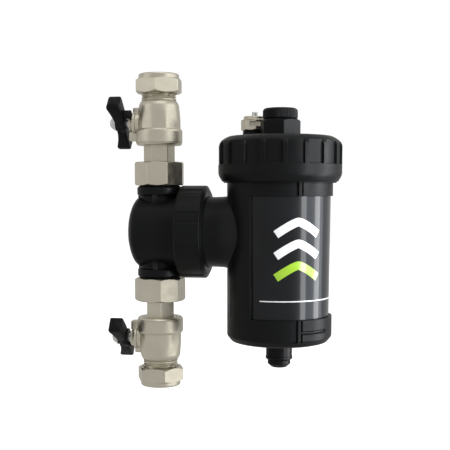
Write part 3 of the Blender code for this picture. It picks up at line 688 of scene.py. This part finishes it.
def degrees_from_front(turn):
    """Angle from -Y towards +X, from 0 to 360, for an angle measured from +X towards +Y."""
    return (math.degrees(turn) + 90.0) % 360.0


def within(angle, start, end):
    """Whether a bearing lies between two others, going round from start to end."""
    return (angle - start) % 360.0 <= (end - start) % 360.0


def canister_body():
    """The moulding: threaded mouth, collar, a recess for the label, ribs and panels, and the drain boss."""
    low, high = box_mm("canister_body")
    label_low, label_high = box_mm("label_panel")
    radius, bore, mouth, rim = 39.4, 34.4, 36.4, 41.3
    floor_z, base_z, collar_top, boss, drain = -78.0, -82.6, 35.2, 10.0, 6.2
    thread_low, thread_high, pitch = 40.6, high.z - 0.8, 4.2
    recess_radius, recess_start, recess_end = 37.1, -26.8, 206.8
    rib_half, rib_height, rib_shadow, shadow_depth = 1.8, 0.6, 6.0, 1.1
    groove_z, groove_half, groove_depth, panel_height, seam_depth = label_low.z - 9.2, 0.8, 1.0, 0.3, 0.6
    profile = rounded([
        (mouth, high.z, 0.5), (rim, high.z, 0.8), (rim, thread_low - 1.0, 0.4),
        (radius - 0.2, thread_low - 2.0, 0.3), (radius, collar_top, 0.4),
        (radius, label_high.z + 0.2, 0.15), (radius, label_high.z - 1.0),
        (radius, 0.0), (radius, label_low.z + 1.2), (radius, label_low.z - 0.2, 0.15),
        (radius, base_z + 5.4, 1.2), (radius - 3.4, base_z + 1.2, 1.0), (radius - 8.0, base_z, 1.2),
        (boss + 1.5, base_z, 0.6), (boss, base_z - 1.5, 0.8), (boss - 0.2, low.z + 2.8, 0.4),
        (boss + 0.15, low.z + 2.2, 0.3), (boss + 0.15, low.z + 0.6, 0.3), (boss - 0.7, low.z, 0.3),
        (drain, low.z, 0.3), (drain, floor_z), (bore, floor_z, 2.5), (bore, 43.0), (mouth, 45.0)])
    thread = screw_thread(pitch, 1.7, thread_low, thread_high, mouth + 2)
    taper = 0.9 / (label_high.z - label_low.z)

    def radius_at(r, height, turn):
        if height > thread_low - 0.5:
            return thread(r, height, turn)
        if r < radius - 0.6:
            return r
        angle = degrees_from_front(turn)
        if label_low.z - 0.15 <= height <= label_high.z + 0.15:
            if within(angle, recess_start, recess_end):
                return recess_radius - (label_high.z - height) * taper
            return r - (seam_depth if any(within(angle, *seam) for seam in SEAMS) else 0.0)
        for rib in RIBS:
            away = (angle - rib + 180.0) % 360.0 - 180.0
            if abs(away) <= rib_half:
                return r + rib_height
            if -rib_shadow <= away <= rib_half + 1.2:
                return r - shadow_depth
        mirrored = angle if angle <= 90.0 else 180.0 - angle
        if height < label_low.z and PANEL_START < mirrored < PANEL_END:
            return r - (groove_depth if abs(height - groove_z) < groove_half else -panel_height)
        return r

    body = lathe("canister_moulding", dense(profile, 1.0), BLACK, CANISTER, 480, radius_at)
    fit(body, "canister", "canister_body")
    neck(low.x, radius)


def neck(start, radius):
    """The side pipe, with the flange that the union ring pulls on; it runs into the canister's wall."""
    flange, pipe, bore, flange_end = 30.2, 26.4, 22.0, 34.1
    segments, wall = 160, radius - 2.0
    into_wall = None
    rows = [(bore, into_wall), (bore, start), (flange, start), (flange, flange_end),
            (pipe + 0.6, flange_end), (pipe, flange_end + 0.8), (pipe, 44.0), (pipe + 0.25, 50.0),
            (pipe + 1.1, into_wall)]
    vertices, faces = [], []
    for r, x in rows:
        for index in range(segments):
            turn = math.tau * index / segments
            y, z = r * math.sin(turn), r * math.cos(turn)
            end = CANISTER_X - math.sqrt(wall ** 2 - y ** 2)
            vertices.append(((end if x is into_wall else x) * MM, y * MM, z * MM))
    for row in range(len(rows)):
        faces.extend(band(row, (row + 1) % len(rows), segments))
    pipe_piece = skin("canister_neck", vertices, faces, BLACK, UPPER, 40.0)
    fit(pipe_piece, "canister", "canister_body")


# Label

# Its radius at the top and how much less it is at the bottom, and the bearings of its two ends
LABEL_LOW, LABEL_HIGH = box_mm("label_panel")
LABEL_OUTER, LABEL_TAPER, LABEL_FROM, LABEL_TO = 37.85, 0.8, -26.0, 206.0


def on_label(across, height, lift):
    """A point on the label: across is in millimetres round it from the front, towards +X."""
    radius = LABEL_OUTER - LABEL_TAPER * (LABEL_HIGH.z - height) / (LABEL_HIGH.z - LABEL_LOW.z) + lift
    angle = across / LABEL_OUTER
    return (radius * math.sin(angle) * MM, -radius * math.cos(angle) * MM, height * MM)


def curved_sheet(name, rows, thickness, material, lift):
    """A thin closed sheet on the label's curve, from rows of (across, height) points."""
    columns = len(rows[0])
    vertices, faces = [], []
    for depth in (lift + thickness, lift):
        vertices.extend(on_label(across, height, depth) for row in rows for across, height in row)
    layer = len(rows) * columns
    for row in range(len(rows) - 1):
        for column in range(columns - 1):
            a = row * columns + column
            quad = (a, a + 1, a + columns + 1, a + columns)
            faces.append(quad)
            faces.append(tuple(index + layer for index in reversed(quad)))
    rim = [(0, column) for column in range(columns)]
    rim += [(row, columns - 1) for row in range(1, len(rows))]
    rim += [(len(rows) - 1, column) for column in range(columns - 2, -1, -1)]
    rim += [(row, 0) for row in range(len(rows) - 2, 0, -1)]
    numbers = [row * columns + column for row, column in rim]
    for a, b in zip(numbers, numbers[1:] + numbers[:1]):
        faces.append((a, a + layer, b + layer, b))
    return skin(name, vertices, faces, material, CANISTER, 40.0)


def ribbon(name, path, width, material):
    """A printed stroke that follows a path of (across, height) points on the label."""
    half = width / 2
    rows = []
    for index, point in enumerate(path):
        before = Vector(path[max(0, index - 1)])
        after = Vector(path[min(len(path) - 1, index + 1)])
        side = (after - before).normalized().orthogonal()
        middle = Vector(point)
        rows.append([tuple(middle + side * half * share) for share in (-1.0, 0.0, 1.0)])
    piece = curved_sheet(name, rows, 0.10, material, 0.02)
    fit(piece, "canister", None)


def label():
    """The glossy wrap with a made-up mark of three rising chevrons over one thin rule."""
    columns, rows, film_thickness = 117, 12, 0.45
    start, end = (math.radians(value) * LABEL_OUTER for value in (LABEL_FROM, LABEL_TO))
    across_step, height_step = (end - start) / (columns - 1), (LABEL_HIGH.z - LABEL_LOW.z) / (rows - 1)
    grid = [[(start + across_step * column, LABEL_LOW.z + height_step * row) for column in range(columns)]
            for row in range(rows)]
    film = curved_sheet("label_wrap", grid, film_thickness, FILM, -film_thickness)
    fit(film, "canister", "label_panel")
    middle, half_across, rise, steps = 17.5, 16.5, 9.0, 30
    lowest, spacing = -31.0, 15.5
    for index, ink in enumerate((GREEN_INK, WHITE_INK, WHITE_INK)):
        base = lowest + spacing * index
        path = []
        for step in range(steps + 1):
            t = 2 * step / steps - 1
            path.append((middle + half_across * t, base + rise * (1 - abs(t) ** 1.3)))
        ribbon("label_chevron_%d" % (index + 1), path, 6.0, ink)
    rule_start, rule_length, rule_height, rule_steps = -11.0, 72.0, -48.0, 48
    rule = [(rule_start + rule_length * step / rule_steps, rule_height) for step in range(rule_steps + 1)]
    ribbon("label_rule", rule, 0.75, WHITE_INK)


# Lid and what stands on it

def lid_ring():
    """The screwed ring: a crowned top, eighteen grip recesses, a plain band and a rounded shoulder."""
    radius, skirt, bore, opening = LID_RADIUS, 40.5, 41.8, 36.4
    low, high, band, lip = LID_LOW.z, LID_HIGH.z, 41.0, 62.3
    grips, share, depth, grip_low, side_steepness, floor_ease = 18, 0.775, 1.7, 50.2, 60, 0.25
    profile = rounded([
        (opening, high, 0.4), (38.4, high - 0.2, 0.8), (41.4, high - 1.6, 2.0), (44.4, high - 3.9, 1.2),
        (radius, high - 6.4, 1.6), (radius, grip_low, 0.2), (radius, band + 1.6, 2.2),
        (radius - 2.8, band - 3.0, 1.6), (skirt + 0.9, low + 0.3, 0.6), (bore, low, 0.3), (bore, lip, 0.2),
        (opening, lip, 0.2)])

    def radius_at(r, height, turn):
        if r < radius - 4.6 or height < grip_low:
            return r
        place = (turn / math.tau * grips) % 1.0
        inside = share / 2 - abs(place - 0.5)
        ease = min(1.0, max(0.0, inside * side_steepness), max(0.0, (height - grip_low) / floor_ease))
        return r - max(0.0, r - (radius - depth)) * ease

    ring = lathe("lid_ring_body", dense(profile, 0.7), BLACK, CANISTER, 540, radius_at)
    fit(ring, "lid_ring", "lid_ring")


def lid_plate():
    """The lid inside its ring: a flange over the mouth, a skirt into it and a groove round the top."""
    low, high = box_mm("lid_plate")
    rim, flange, skirt, inner = 35.9, 41.2, 36.1, 12.8
    flange_low, flange_high, seat_z, groove_z = 57.9, 62.0, high.z - 0.4, high.z - 0.5
    profile = rounded([
        (rim, high.z, 0.8), (rim, flange_high, 0.2), (flange, flange_high, 0.4), (flange, flange_low, 0.3),
        (skirt, flange_low, 0.3), (skirt, low.z, 0.6), (30.0, low.z, 0.8), (28.0, flange_low, 0.8),
        (inner, flange_low, 0.3), (inner, seat_z, 0.3), (17.0, seat_z, 0.2), (17.6, high.z, 0.2),
        (33.0, high.z, 0.2), (33.3, groove_z, 0.2), (34.0, groove_z, 0.2), (34.3, high.z, 0.2)])
    plate = lathe("lid_plate_body", profile, BLACK, CANISTER, 256)
    fit(plate, "lid", "lid_plate")


def hex_plug():
    """The hexagon that holds the magnet's sheath in the lid."""
    low, high = box_mm("hex_plug")
    sides, corner, shank, bore, base = 6, 16.0, 12.4, 9.4, 68.9
    profile = rounded([
        (half_flats(corner, sides) - 0.6, high.z, 0.4), (corner, high.z - 1.6, 0.5),
        (corner, base + 0.5, 0.3), (corner - 0.6, base, 0.3), (shank, base, 0.3), (shank, low.z, 0.6),
        (bore, low.z, 0.3), (bore, high.z, 0.4)])
    rule = zone(flats(sides, corner, 45.0, 0.4), base - 0.01, high.z + 1)
    plug = lathe("hex_plug_body", dense(profile, 0.5), BLACK, CANISTER, 240, rule)
    fit(plug, "lid", "hex_plug")


def knurled_cap():
    """The cap that draws the magnet out, with shallow teeth round its side."""
    low, high = box_mm("knurled_cap")
    radius, hole, blind, teeth, tooth_depth, sink = 13.1, 2.4, 87.4, 56, 0.35, 0.1
    profile = rounded([
        (0.0, high.z), (radius - 1.7, high.z, 0.5), (radius, high.z - 1.5, 0.9), (radius, low.z + 0.9, 0.4),
        (radius - 0.7, low.z, 0.3), (hole, low.z, 0.2), (hole, blind), (0.0, blind)])

    def radius_at(r, height, turn):
        if r < radius - 0.4 or not low.z + 1.0 < height < high.z - 1.3:
            return r
        return r - tooth_depth * (1 - abs(math.cos(turn * teeth / 2))) - sink

    cap = lathe("knurled_cap_body", dense(profile, 0.5, False), BLACK, CANISTER, 448, radius_at)
    fit(cap, "knurled_cap", "knurled_cap")


def vent():
    """The air vent behind the plug: a stepped nickel body on a black base, with its bleed screw on top."""
    low, high = box_mm("vent_body")
    middle = Matrix.Translation(((low.x + high.x) / 2 * MM, (low.y + high.y) / 2 * MM, 0))
    radius, neck_radius, hole, step = 10.6, 8.6, 2.0, 84.4
    profile = rounded([
        (neck_radius - 0.5, high.z, 0.4), (neck_radius, high.z - 0.7, 0.3), (neck_radius, step + 0.8, 0.3),
        (radius, step, 0.5), (radius, low.z + 0.6, 0.4), (radius - 0.6, low.z, 0.3), (hole, low.z),
        (hole, high.z, 0.2)])
    rule = zone(flats(8, 10.75, 10.0, 0.4), low.z, step - 0.1)
    body = lathe("vent_shape", dense(profile, 0.6), CAST, middle, 144, rule)
    front = middle @ Matrix.Rotation(math.radians(8), 4, "Z")
    slot = block("slot_shape", (-4.0, -14.0, 79.6), (4.2, -6.5, 83.4), CAST, front, 0.4)
    done = join("vent_body_turned", [body, slot], CAST, "DIFFERENCE")
    fit(done, "lid", "vent_body")

    low, high = box_mm("vent_base")
    radius, shank, under = 9.2, 4.3, 68.9
    profile = rounded([
        (0.0, high.z), (radius, high.z, 0.4), (radius, under, 0.5), (shank, under, 0.2), (shank, low.z, 0.4),
        (0.0, low.z)])
    rule = zone(flats(12, 9.4, 0.0, 0.3), under + 0.1, high.z)
    base = lathe("vent_base_body", dense(profile, 0.6, False), BLACK, middle, 144, rule)
    fit(base, "lid", "vent_base")

    low, high = box_mm("bleed_screw")
    slot_radius, slot_floor, head, shank, under = 0.9, high.z - 0.9, 2.3, 1.6, high.z - 3.1
    profile = rounded([
        (0.0, slot_floor), (slot_radius, slot_floor, 0.1), (1.1, high.z, 0.1), (2.0, high.z, 0.3),
        (head, high.z - 0.5, 0.2), (head, under, 0.2), (shank, under, 0.1), (shank, low.z, 0.4),
        (0.0, low.z)])
    screw = lathe("bleed_screw_body", dense(profile, 0.5, False), BRIGHT, middle, 64)
    fit(screw, "bleed_screw", "bleed_screw")


def drain_plug():
    """The screwed plug under the canister, with a round socket in its end."""
    low, high = box_mm("drain_plug")
    shank, head, head_top, socket, socket_top = 5.9, 8.6, -96.1, 2.6, low.z + 2.5
    profile = rounded([
        (0.0, high.z), (shank, high.z, 0.6), (shank, head_top, 0.2), (head, head_top, 0.3),
        (head, low.z + 2.6, 0.4), (head - 3.0, low.z, 0.4), (socket, low.z, 0.2), (socket, socket_top, 0.1),
        (0.0, socket_top)])
    thread = screw_thread(1.5, 0.6, head_top + 4, high.z - 0.5, shank - 0.4)
    plug = lathe("drain_plug_body", dense(profile, 0.4, False), BLACK, CANISTER, 160, thread)
    fit(plug, "drain_plug", "drain_plug")


def carried_over():
    """Better materials for the CAD nodes whose shape stays as it is; the first match in a name counts."""
    finishes = (("valve_ball", CHROME), ("seat", PTFE), ("olive", BRASS), ("drain_washer", RUBBER),
                ("washer", FIBRE), ("valve_stem", STEEL), ("o_ring", RUBBER), ("magnet_sheath", BRASS),
                ("magnet_rod", STEEL), ("pole_piece", STEEL), ("magnet_", MAGNET), ("flow_divider", BLACK))
    for name, item in frame["nodes"].items():
        matches = [finish for part, finish in finishes if part in name]
        if matches and not item.hide_render:
            item.data.materials.clear()
            item.data.materials.append(matches[0])


# Stage

def floor():
    """A white floor far below that the camera sees and the object's surfaces don't."""
    size, level = 6.0, -0.35
    mesh = bpy.data.meshes.new("floor")
    bm = bmesh.new()
    bmesh.ops.create_grid(bm, x_segments=1, y_segments=1, size=size)
    bm.to_mesh(mesh)
    bm.free()
    paint = Nodes("floor_paint", (0.9, 0.9, 0.9), 0.8)
    paint.set("Emission Color", (1, 1, 1, 1))
    paint.set("Emission Strength", 0.72)
    item = finish_mesh("floor", mesh, paint.material, Matrix.Translation((0, 0, level)))
    item.visible_glossy = False
    item.visible_diffuse = False


def world():
    """White behind the object for the eye, and a dimmer even light for the surfaces."""
    made = bpy.data.worlds.new("studio")
    bpy.context.scene.world = made
    made.use_nodes = True
    tree = made.node_tree
    output = tree.nodes["World Output"]
    seen = tree.nodes["Background"]
    seen.inputs["Color"].default_value = (1, 1, 1, 1)
    seen.inputs["Strength"].default_value = 1.02
    fill = tree.nodes.new("ShaderNodeBackground")
    fill.inputs["Color"].default_value = (1.0, 0.99, 0.97, 1)
    fill.inputs["Strength"].default_value = 0.60
    path = tree.nodes.new("ShaderNodeLightPath")
    mix = tree.nodes.new("ShaderNodeMixShader")
    tree.links.new(path.outputs["Is Camera Ray"], mix.inputs["Fac"])
    tree.links.new(fill.outputs[0], mix.inputs[1])
    tree.links.new(seen.outputs[0], mix.inputs[2])
    tree.links.new(mix.outputs[0], output.inputs["Surface"])


def softbox(name, bearing, height, distance, size, radiance, only=None, tint=(1.0, 1.0, 1.0)):
    """A rectangular light at a bearing in degrees from -Y towards +X, facing the middle of the object.

    Its height, distance and size are in metres, and only is a collection that it lights alone.
    """
    light = bpy.data.lights.new(name, "AREA")
    light.shape = "RECTANGLE"
    light.size, light.size_y = size
    light.energy = radiance * math.pi * size[0] * size[1]
    light.color = tint
    item = bpy.data.objects.new(name, light)
    middle = Vector((0.06, 0.0, 0.0))
    angle = math.radians(bearing)
    spot = Vector((math.sin(angle) * distance, -math.cos(angle) * distance, height)) + middle
    item.location = spot
    item.rotation_euler = (middle - spot).to_track_quat("-Z", "Y").to_euler()
    bpy.context.scene.collection.objects.link(item)
    if only:
        item.light_linking.receiver_collection = only


def lights():
    """One wide light from the right, soft fills, and two strips and a cool panel for the dark mouldings."""
    dark = bpy.data.collections.new("dark_mouldings")
    for item in bpy.data.objects:
        if item.type == "MESH" and item.data.materials and item.data.materials[0] in DARK:
            dark.objects.link(item)
    softbox("right_wall", 84.0, 0.1, 1.1, (1.5, 1.6), 0.9)
    softbox("overhead", 20.0, 1.3, 0.5, (1.2, 1.0), 1.0)
    softbox("front_left", -60.0, 0.5, 1.4, (0.8, 1.0), 0.5)
    softbox("right_strip", 61.0, 0.0, 1.0, (0.22, 1.3), 10.0, dark)
    softbox("back_strip", 97.5, 0.0, 0.95, (0.26, 1.3), 10.0, dark)
    softbox("cool_panel", 86.0, 0.0, 1.3, (1.5, 1.5), 2.0, dark, (0.72, 0.84, 1.0))


def camera():
    """Eye a little to the right and above, tipped down, at the distance of a product shot."""
    bearing, tip, distance, focal, sensor, shift = 9.0, 5.3, 0.690, 72.6, 36.0, 0.115
    target = Vector((0.0505, 0.0, -0.034))
    data = bpy.data.cameras.new("camera")
    data.lens = focal
    data.sensor_width = sensor
    data.shift_y = shift
    item = bpy.data.objects.new("camera", data)
    angle, down = math.radians(bearing), math.radians(tip)
    away = Vector((math.sin(angle) * math.cos(down), -math.cos(angle) * math.cos(down), math.sin(down)))
    item.location = target + away * distance
    item.rotation_euler = (-away).to_track_quat("-Z", "Y").to_euler()
    bpy.context.scene.collection.objects.link(item)
    bpy.context.scene.camera = item


# The last figure of each nut and neck is where its first corner stands, in degrees, as the photo shows it
compression_nut("upper", UPPER, 33.0)
compression_nut("lower", LOWER, 7.0)
union_nut("upper", UPPER, 30.0)
union_nut("lower", LOWER, 31.0)
tailpiece("upper", UPPER, 14.0)
tailpiece("lower", LOWER, 16.0)
valve_body("upper", UPPER)
valve_body("lower", LOWER)
lever("upper", UPPER, UPPER_LEAN)
lever("lower", LOWER, LOWER_LEAN)
diverter()
union_ring()
canister_body()
label()
lid_ring()
lid_plate()
hex_plug()
knurled_cap()
vent()
drain_plug()
carried_over()
floor()
world()
lights()
camera()
bpy.context.scene.view_settings.view_transform = "Standard"
